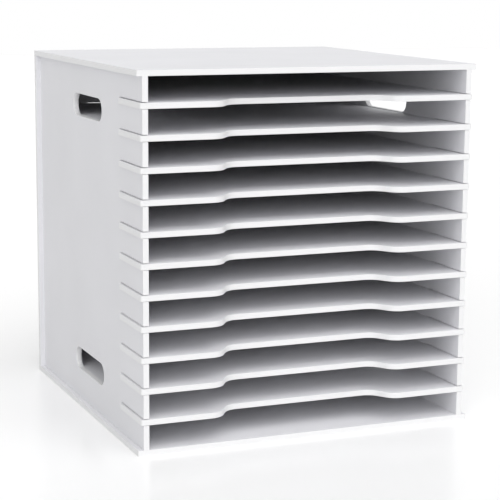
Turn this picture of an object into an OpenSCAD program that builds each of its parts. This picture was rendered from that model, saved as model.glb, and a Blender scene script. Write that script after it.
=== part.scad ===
// Scrapbook paper organizer: a case of flat white boards with loose pull-out shelves.
// X runs along the width, Y from front to back and Z up.
// The origin is at the middle of the footprint, on the plane that the case stands on.

/* [Paper slots] */
// Clear width between the side panels, for a sheet 304.8 wide
inner_w = 310; // [240:1:360]
// Clear depth from the front edges to the back panel
inner_d = 325; // [260:1:380]
// Clear height of each paper slot
slot_h = 22.65; // [16:0.05:40]
// Number of shelves, one fewer than the slots
shelf_count = 11; // [4:1:16]

/* [Boards] */
// Thickness of every board
board = 5.2; // [4:0.1:8]
// How far the top, bottom and back panels stand past the side panels
overhang = 5; // [3:0.5:10]
// Depth of the blind grooves that seat the side panels
groove_depth = 1.5; // [1:0.25:2]
// Solid board left in front of each groove
groove_stop = 6; // [3:1:15]
// Clearance all round a side panel's tongue in its groove
groove_gap = 0.1; // [0.05:0.05:0.2]

/* [Shelves] */
// Depth of the ears at the front of a shelf
ear_depth = 62; // [30:1:90]
// How far the ears stand out of the side panels
ear_proud = 1.85; // [1:0.05:3]
// Radius that rounds the outer corners of the ears
ear_r = 2; // [0.5:0.1:3]
// Width of each tab at the rear of a shelf
tab_w = 40; // [20:1:60]
// Distance between the middles of the two rear tabs
tab_spacing = 180; // [100:2:200]
// Clearance under a shelf in its slots
seat_gap = 0.3; // [0.05:0.05:0.4]
// Clearance over a shelf in its slots
slot_play = 0.75; // [0.1:0.05:1.2]
// Clearance at the sides and at the rear end of a shelf
slide_gap = 0.25; // [0.1:0.05:0.5]

/* [Finger notch] */
// Width of the notch between the corners at its bottom
notch_w = 146; // [80:1:160]
// Depth of the notch behind the front edge
notch_depth = 21; // [19:0.5:30]
// Angle between the notch's shoulders and the front edge
notch_slope = 57; // [40:1:60]
// Radius that rounds both ends of a shoulder
notch_r = 16; // [4:0.5:18]

/* [Handle holes] */
// Length of a handle hole with its round ends
handle_l = 91; // [80:1:120]
// Distance from the front edges to the middle of a handle hole
handle_from_front = 161; // [130:1:180]
// Board left between a handle hole and the shelf faces above and below
handle_margin = 0.65; // [0.2:0.05:2]

/* [Screws] */
// Diameter of a screw's shank
screw_d = 2; // [1.5:0.1:2.4]
// Diameter of a screw's countersunk head
screw_head_d = 3.8; // [3:0.1:4]
// Length of a screw with its head
screw_l = 14; // [10:0.5:16]
// Clearance round a screw in its hole
screw_gap = 0.05; // [0.02:0.01:0.1]
// Distance from the front edges and from the back panel to the outer base screws
screw_inset = 30; // [15:1:60]
// Distance of the base screws in the back panel from each other
back_edge_spacing = 110; // [60:1:115]
// Depth that a screw head lies below the board's face
head_sink = 0.2; // [0.1:0.1:0.4]
// Width of the arms of the cross recess in a screw head
recess_w = 0.5; // [0.3:0.05:0.6]
// Length of the arms of the cross recess in a screw head
recess_l = 2; // [1.5:0.1:2.4]
// Depth of the cross recess in a screw head
recess_depth = 0.8; // [0.5:0.1:1]

/* [Hidden] */
$fn = 96;
// Overrun for cuts that pass through a face
over = 1;
// Straight steps along each arc of a shelf's outline
arc_steps = 12;

// Overall sizes
pitch = slot_h + board;
slot_count = shelf_count + 1;
case_w = inner_w + 2 * board + 2 * overhang;
case_d = inner_d + board;
side_h = slot_count * slot_h + shelf_count * board;
case_h = side_h + 2 * board;

// Planes that the boards share
y_front = -case_d / 2;
y_back = case_d / 2;
y_side_end = y_back - board;
x_inner = inner_w / 2;
x_outer = x_inner + board;
x_side_middle = x_inner + board / 2;

// Number of screws in a row along each side panel
row_count = 3;

function two_digits(n) = n < 10 ? str("0", n) : str(n);
function shelf_name(n) = str("shelf_", two_digits(n));

// Height of the underside of shelf n, counted from the top
function shelf_z(n) = case_h - board - n * pitch;

// Height of the middle of slot n, counted from the top
function slot_middle_z(n) = shelf_z(n) + board + slot_h / 2;

// Slots that the two handle holes open into
handle_slots = [2, slot_count - 1];

// Slots that the back screws lie level with
back_screw_slots = [1, ceil(slot_count / 2), slot_count];

// A board's outline in the YZ plane, made solid from x = 0 towards +X
module upright(thickness) {
    rotate([90, 0, 90])
        linear_extrude(thickness)
            children();
}

// A screw hole for a screw whose head lies in the plane z = 0 and whose tip points up
module screw_hole() {
    hole_d = screw_d + 2 * screw_gap;
    seat_d = screw_head_d + 2 * screw_gap;
    seat_h = (seat_d - hole_d) / 2;
    translate([0, 0, -over])
        cylinder(d = hole_d, h = screw_l + screw_gap + over);
    translate([0, 0, head_sink])
        cylinder(d1 = seat_d, d2 = hole_d, h = seat_h);
    translate([0, 0, -over])
        cylinder(d = seat_d, h = head_sink + over);
}

// A countersunk screw, its head sunk just below z = 0 and its point up
module screw() {
    head_h = (screw_head_d - screw_d) / 2;
    point_h = screw_d;
    shank_h = screw_l - head_h - point_h - head_sink;
    difference() {
        union() {
            translate([0, 0, head_sink])
                cylinder(d1 = screw_head_d, d2 = screw_d, h = head_h);
            translate([0, 0, head_sink + head_h])
                cylinder(d = screw_d, h = shank_h);
            translate([0, 0, head_sink + head_h + shank_h])
                cylinder(d1 = screw_d, d2 = 0, h = point_h);
        }
        for (turn = [0, 90])
            rotate([0, 0, turn])
                translate([-recess_l / 2, -recess_w / 2, head_sink - over])
                    cube([recess_l, recess_w, recess_depth + over]);
    }
}

// Copies of the children at each base screw: a row under each side panel and one under the back panel
module at_base_screws() {
    y_first = y_front + screw_inset;
    y_step = (y_side_end - screw_inset - y_first) / (row_count - 1);
    for (side = [-1, 1], k = [0 : row_count - 1])
        translate([side * x_side_middle, y_first + k * y_step, 0])
            children();
    for (k = [-1, 0, 1])
        translate([k * back_edge_spacing, y_back - board / 2, 0])
            children();
}

// Copies of the children at each back screw: through the back panel into the side panels' rear edges
module at_back_screws() {
    for (side = [-1, 1], n = back_screw_slots)
        translate([side * x_side_middle, y_back, slot_middle_z(n)])
            rotate([90, 0, 0])
                children();
}

// The two stopped grooves that seat the side panels, cut down from z = 0
module side_grooves() {
    groove_w = board + 2 * groove_gap;
    y_start = y_front + groove_stop - groove_gap;
    groove_l = y_side_end + groove_gap - y_start;
    for (side = [-1, 1])
        translate([side * x_side_middle - groove_w / 2, y_start, -groove_depth - groove_gap])
            cube([groove_w, groove_l, groove_depth + groove_gap + over]);
}

// The flat board that the top and bottom panels are both cut from
module cover_board() {
    translate([-case_w / 2, y_front, 0])
        cube([case_w, case_d, board]);
}

module top_panel() {
    color("white")
        translate([0, 0, case_h - board])
            difference() {
                cover_board();
                mirror([0, 0, 1])
                    side_grooves();
            }
}

module bottom_panel() {
    color("white")
        difference() {
            cover_board();
            translate([0, 0, board])
                side_grooves();
            at_base_screws()
                screw_hole();
        }
}

// Outline of a handle hole round its own middle: a slot with round ends
module handle_outline() {
    handle_h = slot_h - 2 * handle_margin;
    straight_l = handle_l - handle_h;
    square([straight_l, handle_h], center = true);
    for (end = [-1, 1])
        translate([end * straight_l / 2, 0])
            circle(d = handle_h);
}

// Outline of a side panel in Y and Z: front slots for the ears, two handle holes, a tongue above and below
module side_outline() {
    y_tongue = y_front + groove_stop;
    difference() {
        union() {
            translate([y_front, board])
                square([inner_d, side_h]);
            translate([y_tongue, board - groove_depth])
                square([y_side_end - y_tongue, side_h + 2 * groove_depth]);
        }
        for (n = [1 : shelf_count])
            translate([y_front - over, shelf_z(n) - seat_gap])
                square([ear_depth + slide_gap + over, board + seat_gap + slot_play]);
        for (n = handle_slots)
            translate([y_front + handle_from_front, slot_middle_z(n)])
                handle_outline();
    }
}

module side_panel(side) {
    color("white")
        difference() {
            translate([side * x_side_middle - board / 2, 0, 0])
                upright(board)
                    side_outline();
            at_base_screws()
                screw_hole();
            at_back_screws()
                screw_hole();
        }
}

module left_side_panel() {
    side_panel(-1);
}

module right_side_panel() {
    side_panel(1);
}

// The back panel, with a pair of through slots for each shelf's rear tabs
module back_panel() {
    slot_w = tab_w + 2 * slide_gap;
    color("white")
        difference() {
            translate([-case_w / 2, y_side_end, board])
                cube([case_w, board, side_h]);
            for (n = [1 : shelf_count], side = [-1, 1])
                translate([side * tab_spacing / 2 - slot_w / 2, y_side_end - over, shelf_z(n) - seat_gap])
                    cube([slot_w, board + 2 * over, board + seat_gap + slot_play]);
            at_base_screws()
                screw_hole();
            at_back_screws()
                screw_hole();
        }
}

// Points along an arc round a centre, from one angle to another
function arc(centre, radius, from, to) = [
    for (k = [0 : arc_steps])
        let (a = from + (to - from) * k / arc_steps)
            centre + radius * [cos(a), sin(a)]
];

// Right shoulder of the finger notch in plan, from the front edge, y = 0, to the notch's bottom.
// Equal arcs round both ends of a straight slope.
function notch_shoulder() =
    let (
        run = notch_depth / tan(notch_slope),
        foot = notch_w / 2,
        tangent = notch_r * tan(notch_slope / 2),
        lip_centre = [foot + run + tangent, notch_r],
        foot_centre = [foot - tangent, notch_depth - notch_r]
    )
    concat(
        arc(lip_centre, notch_r, 270, 270 - notch_slope),
        arc(foot_centre, notch_r, 90 - notch_slope, 90)
    );

// Outline of the whole notch, run out past the front edge
module notch_outline() {
    right = notch_shoulder();
    left = [for (k = [len(right) - 1 : -1 : 0]) [-right[k][0], right[k][1]]];
    lip = right[0][0];
    polygon(concat([[lip, -over]], right, left, [[-lip, -over]]));
}

// Outline of the strip that holds both ears, with its outer corners rounded
module ears_outline() {
    x_arc = x_outer + ear_proud - ear_r;
    y_front_arc = y_front + ear_r;
    y_rear_arc = y_front + ear_depth - ear_r;
    polygon(concat(
        arc([x_arc, y_rear_arc], ear_r, 0, 90),
        arc([-x_arc, y_rear_arc], ear_r, 90, 180),
        arc([-x_arc, y_front_arc], ear_r, 180, 270),
        arc([x_arc, y_front_arc], ear_r, 270, 360)
    ));
}

// Outline of a shelf in plan: ears at the front, two tabs at the rear and the finger notch
module shelf_outline() {
    plate_w = inner_w - 2 * slide_gap;
    plate_d = inner_d - slide_gap;
    difference() {
        union() {
            translate([-plate_w / 2, y_front])
                square([plate_w, plate_d]);
            ears_outline();
            for (side = [-1, 1])
                translate([side * tab_spacing / 2 - tab_w / 2, y_front])
                    square([tab_w, case_d]);
        }
        translate([0, y_front])
            notch_outline();
    }
}

module shelf(n) {
    color("white")
        translate([0, 0, shelf_z(n)])
            linear_extrude(board)
                shelf_outline();
}

module base_screws() {
    color("silver")
        at_base_screws()
            screw();
}

module back_screws() {
    color("silver")
        at_back_screws()
            screw();
}

top_panel();
bottom_panel();
left_side_panel();
right_side_panel();
back_panel();
for (n = [1 : shelf_count])
    shelf(n);
base_screws();
back_screws();
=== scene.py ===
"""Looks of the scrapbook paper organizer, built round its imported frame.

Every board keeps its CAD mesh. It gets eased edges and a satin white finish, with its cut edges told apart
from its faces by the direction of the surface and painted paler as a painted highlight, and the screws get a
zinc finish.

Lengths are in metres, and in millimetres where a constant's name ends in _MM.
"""
import math

import bpy
from mathutils import Matrix, Vector


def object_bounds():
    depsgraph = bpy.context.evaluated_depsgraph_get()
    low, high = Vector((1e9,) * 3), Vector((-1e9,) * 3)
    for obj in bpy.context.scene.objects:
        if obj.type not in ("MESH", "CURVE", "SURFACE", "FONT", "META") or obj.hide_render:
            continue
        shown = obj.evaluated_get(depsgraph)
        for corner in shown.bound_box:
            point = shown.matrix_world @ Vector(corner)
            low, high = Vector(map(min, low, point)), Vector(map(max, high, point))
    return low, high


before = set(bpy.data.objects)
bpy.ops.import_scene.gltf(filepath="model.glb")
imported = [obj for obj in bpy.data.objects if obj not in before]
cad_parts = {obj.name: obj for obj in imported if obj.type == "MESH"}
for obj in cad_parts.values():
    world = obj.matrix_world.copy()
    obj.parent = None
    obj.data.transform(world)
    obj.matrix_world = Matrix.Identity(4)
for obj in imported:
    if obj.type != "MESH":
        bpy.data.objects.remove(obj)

CAD_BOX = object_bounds()
MM = 0.001

# Camera, fitted to the photograph's edges with the picture's middle on the lens axis
IMAGE_PX = 500
FOCAL_PX = 1580.5
CAMERA_FROM_FRONT_MM = (-593.1, -1272.1, 425.5)
YAW_DEG = 22.73
PITCH_DEG = 10.14
ROLL_DEG = -0.43
SENSOR_MM = 36.0
CLIP_START = 0.05
CLIP_END = 100

# Boards: the white of the faces and of the cut edges, which are painted paler as a painted highlight. A
# surface counts as a face where its direction agrees with the board's flat axis by more than FACE_AGREEMENT
BOARD_WHITE = (0.795, 0.795, 0.82)
CUT_WHITE_WITH_HIGHLIGHT = (0.865, 0.865, 0.872)
BOARD_IOR = 1.46
FACE_AGREEMENT = 0.7
NOISE_RANGE = (0.3, 0.7)

# Satin film on the faces: faint clouds in the white, broad waves in the sheen and a fine orange peel
CLOUD_SCALE = 9.0
CLOUD_SHADES = (0.975, 1.015)
WAVE_SCALE = 60.0
FACE_ROUGH = (0.50, 0.60)
PEEL_SCALE = 1100.0
PEEL_HEIGHT = 0.000012

# Cut edges: paler by a painted highlight, and duller, with fine saw marks that run along the board
SAW_SCALE_ALONG = 30.0
SAW_SCALE_ACROSS = 2600.0
SAW_SHADE = 0.96
SAW_HEIGHT = 0.00003
EDGE_ROUGH = (0.60, 0.72)

# Eased edges of the boards
EASED_MM = 0.12
EASED_SEGMENTS = 2
SHARP_DEG = 30
SAME_POINT_MM = 0.001

# Zinc plating of the screws
ZINC = (0.70, 0.71, 0.73)
MOTTLE_SCALE = 1500.0
MOTTLE_SHADE = 0.85
MOTTLE_HEIGHT = 0.00002
MOTTLE_STRENGTH = 0.3
ZINC_ROUGH = (0.22, 0.42)

# Floor
FLOOR_WHITE = 0.90
FLOOR_LIFT = 0.13
FLOOR_SIZE = 12.0
FLOOR_ROUGH = 0.2
FLOOR_IOR = 1.3

# Light. The surround has one level as a light and another where it is seen. Each lamp is a broad sun: its
# level, the spread of its light in degrees and where it stands
WORLD_LEVEL = 0.35
SEEN_LEVEL = 1.0
LAMPS = {
    "front_left": (1.13, 60, (-0.60, -0.70, 0.40)),
    "front_right": (0.57, 90, (0.60, -0.60, 0.50)),
    "overhead": (1.20, 60, (0.05, -0.45, 0.89)),
}


def add_object(name, data):
    """A new object that holds data, linked to the scene."""
    made = bpy.data.objects.new(name, data)
    bpy.context.scene.collection.objects.link(made)
    return made


def make_camera():
    """The photograph's camera.

    The fit's Y starts at the boards' front edges, so the frame's front plane is added.
    """
    front_y = CAD_BOX[0][1]
    x, y, z = (v * MM for v in CAMERA_FROM_FRONT_MM)
    yaw, pitch, roll = (math.radians(v) for v in (YAW_DEG, PITCH_DEG, ROLL_DEG))
    forward = Vector((
        math.sin(yaw) * math.cos(pitch),
        math.cos(yaw) * math.cos(pitch),
        -math.sin(pitch),
    ))
    level_right = Vector((math.cos(yaw), -math.sin(yaw), 0))
    level_up = level_right.cross(forward)
    right = level_right * math.cos(roll) - level_up * math.sin(roll)
    up = level_right * math.sin(roll) + level_up * math.cos(roll)
    data = bpy.data.cameras.new("camera")
    data.sensor_width = SENSOR_MM
    data.lens = FOCAL_PX * SENSOR_MM / IMAGE_PX
    data.clip_start = CLIP_START
    data.clip_end = CLIP_END
    camera = add_object("camera", data)
    turn = Matrix((right, up, -forward)).transposed()
    camera.matrix_world = Matrix.Translation((x, y + front_y, z)) @ turn.to_4x4()
    bpy.context.scene.camera = camera


class Tree:
    """A material's or the world's node tree, with short calls to add and link its nodes."""

    def __init__(self, owner):
        owner.use_nodes = True
        self.tree = owner.node_tree
        self.tree.nodes.clear()

    def add(self, kind, inputs=None, **settings):
        """A new node. Each input is a constant or another node's output."""
        made = self.tree.nodes.new(kind)
        for name, value in settings.items():
            setattr(made, name, value)
        for name, value in (inputs or {}).items():
            self.fill(made.inputs[name], value)
        return made

    def fill(self, socket, value):
        """Links the socket to value where that is an output, or sets it to value."""
        if isinstance(value, bpy.types.NodeSocket):
            self.tree.links.new(value, socket)
        else:
            socket.default_value = value

    def noise(self, place, scale, detail, roughness=0.5):
        made = self.add(
            "ShaderNodeTexNoise",
            {"Vector": place, "Scale": scale, "Detail": detail, "Roughness": roughness},
        )
        return made.outputs["Fac"]

    def spread(self, value, low, high, from_low=0.0, from_high=1.0):
        """value, moved from one range to another."""
        made = self.add(
            "ShaderNodeMapRange",
            {"Value": value, "From Min": from_low, "From Max": from_high, "To Min": low, "To Max": high},
        )
        return made.outputs["Result"]

    def math(self, operation, first, second=0.0):
        made = self.add("ShaderNodeMath", {0: first, 1: second}, operation=operation)
        return made.outputs["Value"]

    def blend(self, share, first, second):
        """The number first at its share, and the number second at the rest."""
        part = self.math("MULTIPLY", share, first)
        rest = self.math("MULTIPLY", self.math("SUBTRACT", 1.0, share), second)
        return self.math("ADD", part, rest)

    def mix(self, factor, first, second):
        """The colour first, turning into the colour second as factor goes from 0 to 1."""
        made = self.add("ShaderNodeMix", data_type="RGBA")
        for name, value in (("Factor", factor), ("A", first), ("B", second)):
            fitting = [s for s in made.inputs if s.name == name and (s.type == "RGBA" or name == "Factor")]
            self.fill(fitting[0], value)
        return [s for s in made.outputs if s.type == "RGBA"][0]

    def surface(self, inputs):
        """Adds the surface shader with these inputs, and the material's output."""
        shader = self.add("ShaderNodeBsdfPrincipled", inputs)
        self.add("ShaderNodeOutputMaterial", {"Surface": shader.outputs["BSDF"]})


def grey(level):
    return (level, level, level, 1.0)


def rgba(colour, shade=1.0):
    """The colour at a share of its brightness, at most white."""
    return (*(min(c * shade, 1.0) for c in colour), 1.0)


def board_material(name, flat_axis):
    """Satin white board whose broad faces look along flat_axis and whose other faces are its cut edges,
    painted paler as a painted highlight.
    """
    material = bpy.data.materials.new(name)
    t = Tree(material)
    place = t.add("ShaderNodeTexCoord").outputs["Object"]
    normal = t.add("ShaderNodeNewGeometry").outputs["Normal"]
    agreement = t.math("ABSOLUTE", t.add("ShaderNodeSeparateXYZ", {"Vector": normal}).outputs[flat_axis])
    on_face = t.math("GREATER_THAN", agreement, FACE_AGREEMENT)

    clouds = t.noise(place, CLOUD_SCALE, detail=3.0)
    darkest, palest = (rgba(BOARD_WHITE, shade) for shade in CLOUD_SHADES)
    face_white = t.mix(t.spread(clouds, 0.0, 1.0, *NOISE_RANGE), darkest, palest)
    peel = t.noise(place, PEEL_SCALE, detail=2.0)
    waves = t.noise(place, WAVE_SCALE, detail=1.0)

    stretch = [SAW_SCALE_ALONG] * 3
    stretch["XYZ".index(flat_axis)] = SAW_SCALE_ACROSS
    scaled = t.add("ShaderNodeMapping", {"Vector": place, "Scale": stretch})
    marks = t.noise(scaled.outputs["Vector"], scale=1.0, detail=3.0, roughness=0.6)
    edge_white_with_highlight = t.mix(
        t.spread(marks, 0.0, 1.0, *NOISE_RANGE),
        rgba(CUT_WHITE_WITH_HIGHLIGHT, SAW_SHADE),
        rgba(CUT_WHITE_WITH_HIGHLIGHT),
    )

    # Cut edges take the paler white, which is a painted highlight; their saw marks and dullness are their
    # own
    colour = t.mix(on_face, edge_white_with_highlight, face_white)
    rough = t.blend(on_face, t.spread(waves, *FACE_ROUGH), t.spread(marks, *EDGE_ROUGH))
    face_height = t.math("MULTIPLY", peel, PEEL_HEIGHT)
    edge_height = t.math("MULTIPLY", marks, SAW_HEIGHT)
    height = t.blend(on_face, face_height, edge_height)
    bump = t.add("ShaderNodeBump", {"Height": height, "Strength": 1.0, "Distance": 1.0})
    t.surface({"Base Color": colour, "Roughness": rough, "Normal": bump.outputs["Normal"], "IOR": BOARD_IOR})
    return material


def screw_material():
    """Zinc-plated steel with a slightly mottled, bluish plating."""
    material = bpy.data.materials.new("zinc_plated_steel")
    t = Tree(material)
    place = t.add("ShaderNodeTexCoord").outputs["Object"]
    mottle = t.noise(place, MOTTLE_SCALE, detail=3.0)
    colour = t.mix(mottle, rgba(ZINC, MOTTLE_SHADE), rgba(ZINC))
    rough = t.spread(mottle, *ZINC_ROUGH)
    bump = t.add(
        "ShaderNodeBump",
        {"Height": mottle, "Strength": MOTTLE_STRENGTH, "Distance": MOTTLE_HEIGHT},
    )
    t.surface({"Base Color": colour, "Roughness": rough, "Normal": bump.outputs["Normal"], "Metallic": 1.0})
    return material


def dress(node, material, eased_mm):
    """Gives a CAD node its finish and, where eased_mm isn't zero, eased edges.

    The frame's meshes are split along their edges, and a bevel does nothing there, so a weld joins the
    points first.
    """
    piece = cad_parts[node]
    piece.data.materials.clear()
    piece.data.materials.append(material)
    if eased_mm:
        joined = piece.modifiers.new("joined_edges", "WELD")
        joined.merge_threshold = SAME_POINT_MM * MM
        eased = piece.modifiers.new("eased_edges", "BEVEL")
        eased.width = eased_mm * MM
        eased.segments = EASED_SEGMENTS
        eased.limit_method = "ANGLE"
        eased.angle_limit = math.radians(SHARP_DEG)
        eased.use_clamp_overlap = False
        eased.harden_normals = True


def dress_all():
    """Every board gets its white and eased edges, every screw its zinc."""
    upright_x = board_material("white_board_upright_x", "X")
    upright_y = board_material("white_board_upright_y", "Y")
    level = board_material("white_board_level", "Z")
    zinc = screw_material()
    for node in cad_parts:
        if "screws" in node:
            dress(node, zinc, 0)
        elif "side_panel" in node:
            dress(node, upright_x, EASED_MM)
        elif node == "back_panel":
            dress(node, upright_y, EASED_MM)
        else:
            dress(node, level, EASED_MM)


def make_floor():
    """A wide, faintly glossy white floor.

    The camera sees it a little brighter, so that it runs into the background.
    """
    mesh = bpy.data.meshes.new("floor")
    half = FLOOR_SIZE / 2
    corners = [(-half, -half, 0), (half, -half, 0), (half, half, 0), (-half, half, 0)]
    mesh.from_pydata(corners, [], [(0, 1, 2, 3)])
    floor = add_object("floor", mesh)
    material = bpy.data.materials.new("floor_white")
    t = Tree(material)
    rays = t.add("ShaderNodeLightPath").outputs
    shader = t.add(
        "ShaderNodeBsdfPrincipled",
        {"Base Color": grey(FLOOR_WHITE), "Roughness": FLOOR_ROUGH, "IOR": FLOOR_IOR},
    )
    lift = t.add("ShaderNodeEmission", {"Color": grey(1.0), "Strength": FLOOR_LIFT})
    lifted = t.add("ShaderNodeAddShader", {0: shader.outputs["BSDF"], 1: lift.outputs["Emission"]})
    seen = t.add(
        "ShaderNodeMixShader",
        {0: rays["Is Camera Ray"], 1: shader.outputs["BSDF"], 2: lifted.outputs["Shader"]},
    )
    t.add("ShaderNodeOutputMaterial", {"Surface": seen.outputs["Shader"]})
    mesh.materials.append(material)


def make_light():
    """An even white surround, seen as plain white, and three broad suns, two in front and one overhead."""
    world = bpy.data.worlds.new("surround")
    bpy.context.scene.world = world
    t = Tree(world)
    rays = t.add("ShaderNodeLightPath").outputs
    seen_in_object = t.math("MAXIMUM", rays["Is Glossy Ray"], rays["Is Transmission Ray"])
    seen = t.math("MAXIMUM", rays["Is Camera Ray"], seen_in_object)
    level = t.spread(seen, WORLD_LEVEL, SEEN_LEVEL)
    back = t.add("ShaderNodeBackground", {"Color": grey(1.0), "Strength": level})
    t.add("ShaderNodeOutputWorld", {"Surface": back.outputs["Background"]})

    for name, (lamp_level, spread_deg, stands_at) in LAMPS.items():
        data = bpy.data.lights.new(name, "SUN")
        data.energy = lamp_level
        data.angle = math.radians(spread_deg)
        lamp = add_object(name, data)
        lamp.rotation_euler = Vector(stands_at).to_track_quat("Z", "Y").to_euler()


make_camera()
dress_all()
make_floor()
make_light()
bpy.context.scene.view_settings.view_transform = "Standard"
